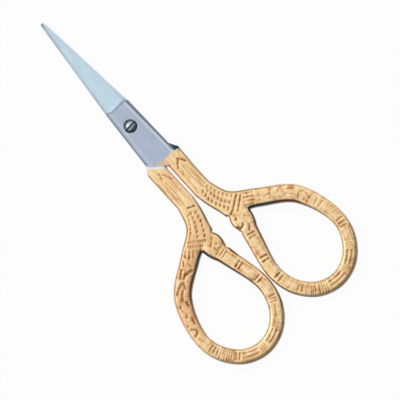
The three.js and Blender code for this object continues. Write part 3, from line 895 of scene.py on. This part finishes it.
def chased_gilt():
    finish, shade = new_finish("chased_gilt")
    relief = marked(shade, "relief")
    reach = marked(shade, "reach")
    along, aside = marked(shade, "along"), marked(shade, "aside")
    on_bow = along.between(15, 23)
    lengthwise = shade.node("ShaderNodeCombineXYZ", {}, {0: along * 0.14, 1: aside * 1.5})
    crosswise = shade.node("ShaderNodeCombineXYZ", {}, {0: along * 2.0, 1: aside * 0.4})
    drawn = shade.node("ShaderNodeTexNoise", {}, {"Vector": lengthwise, "Scale": 1.0, "Detail": 2.0})
    hatched = shade.node("ShaderNodeTexNoise", {}, {"Vector": crosswise, "Scale": 1.0, "Detail": 2.0})
    mottled = streaks(shade, (0.6, 0.6, 0.6), 3)
    grain = streaks(shade, (2.2, 2.2, 2.2), 6)
    # The ground is drawn lengthwise on the shank and hatched across on the bow.
    lined = 1 - marked(shade, "plain")
    texture = ((drawn - 0.5) * (0.8 - on_bow * 0.3) + (hatched - 0.5) * (on_bow * 0.6)) * lined
    texture = texture + (mottled - 0.5) * (on_bow * 0.7 + 0.2) + (grain - 0.5) * 0.2
    gilt = shade.node("ShaderNodeValToRGB", {"stops": GILT_STOPS}, {"Fac": relief + texture})
    yellow = streaks(shade, (0.35, 0.35, 0.35), 2).between(0.42, 0.6)
    gilt = (yellow * 0.3).blend(gilt, YELLOW_GILT)
    # Painted shade on the rim's edges and its outer outline, an even gold on upright walls, and painted
    # shade on walls facing away from the tips.
    gilt = (reach.between(0.86, 1.04) * 0.6).blend(gilt, EDGE_SHADE_GILT)
    outer = aside.between(0.0, 0.4) * (1 - along.between(24, 30))
    gilt = (reach.between(0.76, 0.94) * outer * 0.8).blend(gilt, OUTLINE_SHADE_GILT)
    gilt = (marked(shade, "upright") * 0.85).blend(gilt, WALL_GILT)
    gilt = (marked(shade, "lee") * 0.9).blend(gilt, LEE_SHADE_GILT)
    # Painted warm shade along the front handle's side of the gap.
    gilt = (marked(shade, "blush") * 0.8).blend(gilt, GAP_SHADE_GILT)
    gilt = (marked(shade, "ruddy") * relief.between(0.0, 0.4) * 0.4).blend(gilt, RUDDY_GILT)
    # Painted highlight on the back handle's side of the gap, and painted shade in the bow's hole, along the
    # fork and round the boss.
    pale = marked(shade, "pale")
    gilt = pale.blend(gilt, GAP_HIGHLIGHT_GILT)
    crook = (marked(shade, "crook") + (grain - 0.5) * 0.8).between(0.25, 0.7)
    dark = (along.between(19, 22) - along.between(26, 31)).blend(RUSSET_SHADE_GILT, CROOK_SHADE_GILT)
    dark = (along.between(60, 70) - along.between(86, 90)).blend(dark, STEM_SHADE_GILT)
    dark = along.between(86, 90).blend(dark, CROOK_SHADE_GILT)
    gilt = crook.blend(gilt, dark)
    # Bare steel at the shoulder, filed and painted near white as a highlight, and above the plating line,
    # with the flare's facet painted dark as shade.
    filed = marked(shade, "filed")
    gilt = filed.blend(gilt, FILED_HIGHLIGHT_STEEL)
    x = plan_place(shade, "X")
    bare = x.between(3.5, 3.75).blend(PLATE_STEEL, FACET_SHADE_STEEL)
    colour = (above_plating(shade).between(-0.05, 0.12) * x.between(-2.9, -2.6)).blend(gilt, bare)
    height = grain + drawn * (1 - on_bow) * lined
    bump = shade.node("ShaderNodeBump", {}, {"Strength": 0.35, "Distance": 0.05 * MM, "Height": height})
    shade.coat({
        "Base Color": colour,
        "Metallic": 1 - filed * 0.8 - pale * 0.6,
        "Roughness": 0.42 - relief * 0.24 + grain * 0.06 + filed * 0.3,
        "Normal": bump,
    })
    return finish


BEND_Y = (-46, -36, -27, -22)  # each handle is bent by hand, and stands off its pattern in x and in y
FRONT_BEND = ((-0.04, -0.04, 0, 0), (-0.1, -0.1, -0.12, 0))
BACK_BEND = ((-0.05, -0.08, -0.2, 0), (-0.22, -0.2, -0.04, 0))
FIELD_OUTSIDE = 3.0
GROUND_TONE = 0.525
GROOVE_TONE, RIDGE_TONE, DEPTH_TONE = 2.1, 0.8, 0.75  # for a groove, its shoulders and its depth
gilt_finish = chased_gilt()
for name, lean, body, chasing, bends in (
    ("front_handle", 1, "front_half", front_chasing, FRONT_BEND),
    ("back_handle", -1, "back_half", back_chasing, BACK_BEND),
):
    reach = body_reach - (flare_swell if lean > 0 else 0)
    solid = handle_field(lean, reach, CHASING_DEPTH * chasing.depth)
    volume = openvdb.FloatGrid(FIELD_OUTSIDE)
    volume.copyFromArray(np.ascontiguousarray(solid, np.float32))
    points, quads = volume.convertToQuads()
    bent = HANDLE_LOW + points * GRAIN
    bent[:, :2] += np.stack([np.interp(bent[:, 1], BEND_Y, bend) for bend in bends], axis=1)
    handle = new_piece(name + "_gilt", placed(bent, lean), quads)
    handle.data.shade_smooth()
    # The gilt is darker in the grooves, partly patina and partly painted shade, and lighter where it stands
    # proud beside them, a painted highlight.
    proud = smoothed(chasing.depth, 14) - chasing.depth
    relief = GROUND_TONE + GROOVE_TONE * np.minimum(proud, 0) + RIDGE_TONE * np.maximum(proud, 0)
    relief -= DEPTH_TONE * chasing.depth
    # Painted shade round the boss and stem, along the fork and in the bow's hole.
    if lean > 0:
        dark = np.maximum(0.7 * boss_edge * rising(body_reach, 0.78, 0.93), fork_edge)
        shade_from = shadowed
    else:
        dark = np.maximum(1.3 * boss_edge, stem_edge) * rising(body_reach, 0.66, 0.86)
        dark = np.maximum(dark, 0.55 * fork_edge)
        shade_from = shadowed + np.interp(along_plan, [40, 70], [0.1, -0.12])
    dark = np.maximum(dark, hole_side * rising(body_reach - shade_from, 0, 0.18))
    for title, field in (
        ("reach", reach),
        ("plain", plain),
        ("along", along_plan),
        ("aside", aside_plan),
        ("crook", dark),
        ("blush", gap_side * (lean > 0)),
        ("pale", gap_side * (lean < 0)),
        ("ruddy", ruddy * (lean < 0)),
    ):
        mark(handle, title, sampled(field, points[:, :2]))
    mark(handle, "relief", np.clip(sampled(relief, points[:, :2]), 0, 1))
    x, y, z = own_points(handle, lean)
    near_plate = y > CROTCH_Y - 0.5
    on_ramp = near_plate & (z < INNER_FACE + 0.06) & (np.abs(past_ramp(lean, x, y, z)) < 0.12)
    on_inner_face = near_plate & (np.abs(z - INNER_FACE) < 0.08) & (past_ramp(lean, x, y, z) > -0.1)
    on_shoulder = (y > CROTCH_Y) & (z > INNER_FACE) & (inside_shoulder(lean, x, y) < FILED_WIDTH)
    mark(handle, "upright", upright(handle))
    # Painted shade on walls that face away from the tips, growing further from the pivot.
    face_y, face_z = facing(handle)[1:]
    lee = (1 - rising(np.abs(face_z), 0.55, 0.75)) * rising(-face_y, 0, 0.4)
    mark(handle, "lee", lee * np.interp(-y, [20, 22, 31], [0, 0.5, 1]))
    # Filed steel on the ramp, the inner face and the shoulder, painted near white as a highlight.
    mark(handle, "filed", on_ramp | on_inner_face | on_shoulder)
    handle.data.materials.append(gilt_finish)
    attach(handle, body)
    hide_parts(name)

# Pivot screw
# A turned steel screw with a slotted, domed head, let into the front plate and screwed into the back one.
# It is polished, and its end is filed flush with the back.
HEAD_RADIUS = 1.54
DOME_RADIUS = 2.0
HEAD_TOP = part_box("pivot_screw")[1].z / MM - HALF_HEIGHT
HEAD_HEIGHT = 0.85
HEAD_UNDERSIDE = HEAD_TOP - HEAD_HEIGHT
SCREW_RADIUS = 1.0
SLOT_WIDTH = 0.46
SLOT_DEPTH = 0.5
SLOT_TURN = math.radians(5)
DOME_RINGS = 16
SCREW_STEEL = (0.50, 0.55, 0.61, 1)
# Painted shade for the slot and for a crescent on the head.
SLOT_SHADE_STEEL = (0.05, 0.06, 0.07, 1)


def polished_steel():
    finish, shade = new_finish("polished_steel")
    cloud = streaks(shade, (3, 3, 3))
    scratched = streaks(shade, (1, 16, 16))
    shaded = cloud * 0.3 + scratched * 0.2 + 0.7
    steel = shade.darkened(SCREW_STEEL, shaded)
    # The places marked dark take painted shade.
    shade.coat({
        "Base Color": marked(shade, "dark").blend(steel, SLOT_SHADE_STEEL),
        "Metallic": 1.0,
        "Roughness": 0.14 + cloud * 0.1 + scratched * 0.06,
    })
    return finish


screw_rings = [turned_ring(SCREW_RADIUS * 0.2, -HALF_HEIGHT), turned_ring(SCREW_RADIUS, -HALF_HEIGHT)]
screw_rings += [turned_ring(SCREW_RADIUS, HEAD_UNDERSIDE), turned_ring(HEAD_RADIUS, HEAD_UNDERSIDE)]
for slope in np.linspace(math.asin(HEAD_RADIUS / DOME_RADIUS), 0.02, DOME_RINGS):
    drop = DOME_RADIUS * (1 - math.cos(slope))
    screw_rings.append(turned_ring(DOME_RADIUS * math.sin(slope), HEAD_TOP - drop))
screw = lofted("pivot_screw_steel", screw_rings)
slot_way = np.array([math.cos(SLOT_TURN), math.sin(SLOT_TURN)]) * 2 * HEAD_RADIUS
slot_aside = np.array([-math.sin(SLOT_TURN), math.cos(SLOT_TURN)]) * SLOT_WIDTH / 2
slot_plan = [-slot_way - slot_aside, slot_way - slot_aside, slot_way + slot_aside, -slot_way + slot_aside]
slot_levels = (HEAD_TOP - SLOT_DEPTH, HEAD_TOP + 1)
slot_rings = [placed(np.column_stack([slot_plan, [z] * 4]), 1) for z in slot_levels]
cut_away(screw, lofted("slot", slot_rings))
screw.data.shade_smooth()
screw.data.set_sharp_from_angle(angle=SHARP_ANGLE)
x, y, z = own_points(screw, 1)
aside = np.abs(x * slot_aside[0] + y * slot_aside[1]) / (slot_aside @ slot_aside)
in_slot = (aside < 1.02) & (z < slot_levels[0] + 0.02)
# Painted shade: the slot, and a dark crescent on the head's outer part, on its side away from the tips.
crescent_shade = 0.75 * rising(np.hypot(x, y), 0.6, 1.1) * rising(-y, -0.2, 0.8)
mark(screw, "dark", np.maximum(in_slot, crescent_shade * (z > HEAD_UNDERSIDE)))
screw.data.materials.clear()
screw.data.materials.append(polished_steel())
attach(screw, "screw")
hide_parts("pivot_screw")

# Table, light and camera
# A plain white paper top that takes only a faint shadow, a pale room with a broad window light, and a camera
# that looks down almost straight from above.
FLOOR_SIZE = 8.0
FLOOR_DROP = 0.02
PAPER = (0.9, 0.9, 0.9, 1)
SHADOW_SHARE = 0.06  # how much of the table's own light and shadow shows
DARK_SIDE = 0.2  # how bright the room is on the side away from the window
floor_mesh = bpy.data.meshes.new("table_top")
far = FLOOR_SIZE / 2
corners = [(x, y, -FLOOR_DROP * MM) for x, y in ((-far, -far), (far, -far), (far, far), (-far, far))]
floor_mesh.from_pydata(corners, [], [(0, 1, 2, 3)])
floor = bpy.data.objects.new("table_top", floor_mesh)
bpy.context.scene.collection.objects.link(floor)

paper, shade = new_finish("white_paper")
rays = ("Is Camera Ray", "Is Glossy Ray", "Is Transmission Ray")
seen = [shade.node("ShaderNodeLightPath", {}, {}, ray) for ray in rays]
shown = seen[0].maths("MAXIMUM", seen[0], seen[1].maths("MAXIMUM", seen[1], seen[2]))
lit = shade.node("ShaderNodeBsdfDiffuse", {}, {"Color": PAPER})
white = shade.node("ShaderNodeEmission", {}, {"Color": (1, 1, 1, 1), "Strength": 1.0})
top = shade.node("ShaderNodeMixShader", {}, {0: shown * (1 - SHADOW_SHARE), 1: lit, 2: white})
shade.node("ShaderNodeOutputMaterial", {}, {"Surface": top})
floor_mesh.materials.append(paper)

room = bpy.data.worlds.new("studio")
room.use_nodes = True
room.node_tree.nodes.clear()
air = Shade(room.node_tree)
way = air.node("ShaderNodeTexCoord", {}, {}, "Generated")
way_x, way_y, way_z = (air.node("ShaderNodeSeparateXYZ", {}, {"Vector": way}, axis) for axis in "XYZ")
ROOM_STOPS = [
    (0.0, (0.42, 0.42, 0.42, 1)),
    (0.35, (0.66, 0.66, 0.66, 1)),
    (0.62, (1.0, 1.0, 1.0, 1)),
    (0.86, (1.2, 1.2, 1.2, 1)),
    (0.96, (1.02, 1.02, 1.02, 1)),
    (1.0, (0.92, 0.92, 0.92, 1)),
]
glow = air.node("ShaderNodeValToRGB", {"stops": ROOM_STOPS}, {"Fac": way_z})
lit_side = (way_y * 0.95 - way_x * 0.2).between(-0.55, 0.08)
brightness = DARK_SIDE + lit_side * (1 - DARK_SIDE)
light = air.node("ShaderNodeBackground", {}, {"Color": glow, "Strength": brightness})
air.node("ShaderNodeOutputWorld", {}, {"Surface": light})
bpy.context.scene.world = room

WINDOW_WAY = Vector((-0.4, 0.62, 0.85)).normalized()
WINDOW_DISTANCE = 0.6
WINDOW_SIZE = 0.36
WINDOW_POWER = 0.36
window = bpy.data.lights.new("window", "AREA")
window.size = WINDOW_SIZE
window.energy = WINDOW_POWER
window_object = bpy.data.objects.new("window", window)
window_object.location = WINDOW_WAY * WINDOW_DISTANCE
window_object.rotation_euler = WINDOW_WAY.to_track_quat("Z", "Y").to_euler()
bpy.context.scene.collection.objects.link(window_object)

VIEW_MIDDLE = Vector((0.36, -22.85, HALF_HEIGHT)) * MM
VIEW_WIDTH = 89.9
VIEW_TURN = math.radians(-42.4)
VIEW_TILT = math.radians(7)
LENS = 300
camera = bpy.data.cameras.new("camera")
camera.lens = LENS
camera.clip_start = 0.05
camera.clip_end = 20
camera_object = bpy.data.objects.new("camera", camera)
stand = Matrix.Rotation(VIEW_TILT, 4, "X") @ Matrix.Rotation(VIEW_TURN, 4, "Z")
distance = VIEW_WIDTH * MM * LENS / camera.sensor_width
camera_object.matrix_world = Matrix.Translation(VIEW_MIDDLE) @ stand @ Matrix.Translation((0, 0, distance))
bpy.context.scene.collection.objects.link(camera_object)
bpy.context.scene.camera = camera_object
bpy.context.scene.view_settings.view_transform = "Standard"
